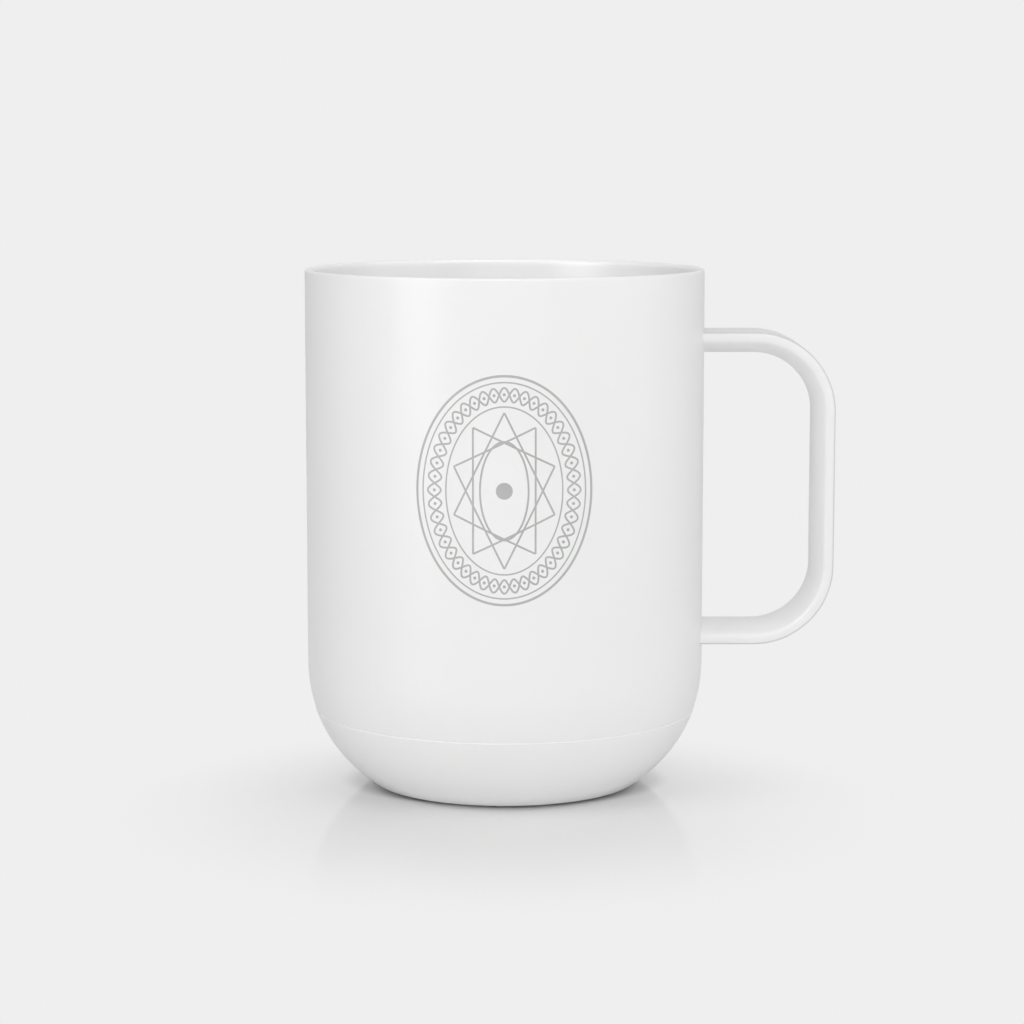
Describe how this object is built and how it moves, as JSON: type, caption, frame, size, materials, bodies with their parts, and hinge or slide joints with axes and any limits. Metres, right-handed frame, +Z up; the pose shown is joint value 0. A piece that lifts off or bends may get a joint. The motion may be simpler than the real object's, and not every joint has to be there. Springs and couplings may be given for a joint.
{
  "type": "self-heating mug",
  "caption": "Double-walled steel mug with a strap handle; the rounded base holds cells, a film heater, charging contacts and a push button.",
  "frame": {"origin": "centre of the foot ring's underside, on the cup's axis", "axes": "+Z up, +X towards the handle, -Y the front of the mug"},
  "size_m": [0.106, 0.08, 0.1044],
  "materials": {
    "white_coating": "satin white coating, the same inside and out",
    "white_plastic": "satin white",
    "cover_plastic": "fine matte",
    "button_plastic": "satin",
    "foot_silicone": "matte silicone",
    "grey_silicone": "matte silicone",
    "clear_silicone": "translucent silicone",
    "steel": "plain",
    "screw_steel": "plain",
    "gold_plate": "gold plated",
    "nickel": "bright nickel",
    "aluminium": "as rolled",
    "carrier_plastic": "matte",
    "black_plastic": "matte",
    "connector_plastic": "satin",
    "ferrite": "matte",
    "cell_wrap": "shrink wrap",
    "board_green": "solder mask",
    "led_white": "clear lens",
    "clear_plastic": "clear",
    "amber_film": "polyimide",
    "foil": "etched foil",
    "insulation": "felt"
  },
  "bodies": {
    "mug": {"base_cup": "white_plastic", "base_screws": "screw_steel", "battery_carrier": "carrier_plastic", "battery_cell_left": "cell_wrap", "battery_cell_right": "cell_wrap", "board_chips": "black_plastic", "board_screws": "screw_steel", "bottom_cover": "cover_plastic", "bottom_sensor": "black_plastic", "button_boot": "clear_silicone", "button_retainer": "carrier_plastic", "carrier_screws": "screw_steel", "cell_link": "nickel", "cell_tabs": "nickel", "charge_ring_inner": "gold_plate", "charge_ring_outer": "gold_plate", "contact_pins": "gold_plate", "cover_screws": "screw_steel", "cover_seal": "grey_silicone", "foot_ring": "foot_silicone", "handle": "white_coating", "heat_spreader": "aluminium", "heater_connector": "connector_plastic", "heater_film": "amber_film", "heating_element": "foil", "inner_liner": "white_coating", "insulation_disc": "insulation", "light_guide": "clear_plastic", "main_board": "board_green", "mounting_ring": "steel", "outer_shell": "white_coating", "power_inductor": "ferrite", "seam_gasket": "grey_silicone", "status_led": "led_white", "switch_body": "black_plastic"},
    "button": {"power_button": "button_plastic"},
    "plunger": {"switch_plunger": "black_plastic"}
  },
  "joints": [
    {"name": "power_button_press", "type": "slide", "parent": "mug", "child": "button", "axis": [0, 0, 1], "range_m": [0, 0.0005], "stiffness_N_per_m": 1200, "springref_m": -0.0005, "deforming": ["button_boot"]},
    {"name": "switch_plunger_press", "type": "slide", "parent": "mug", "child": "plunger", "axis": [0, 0, 1], "range_m": [0, 0.0005]}
  ],
  "couplings": [
    {"joint": "switch_plunger_press", "follows": "power_button_press", "ratio": 1}
  ]
}
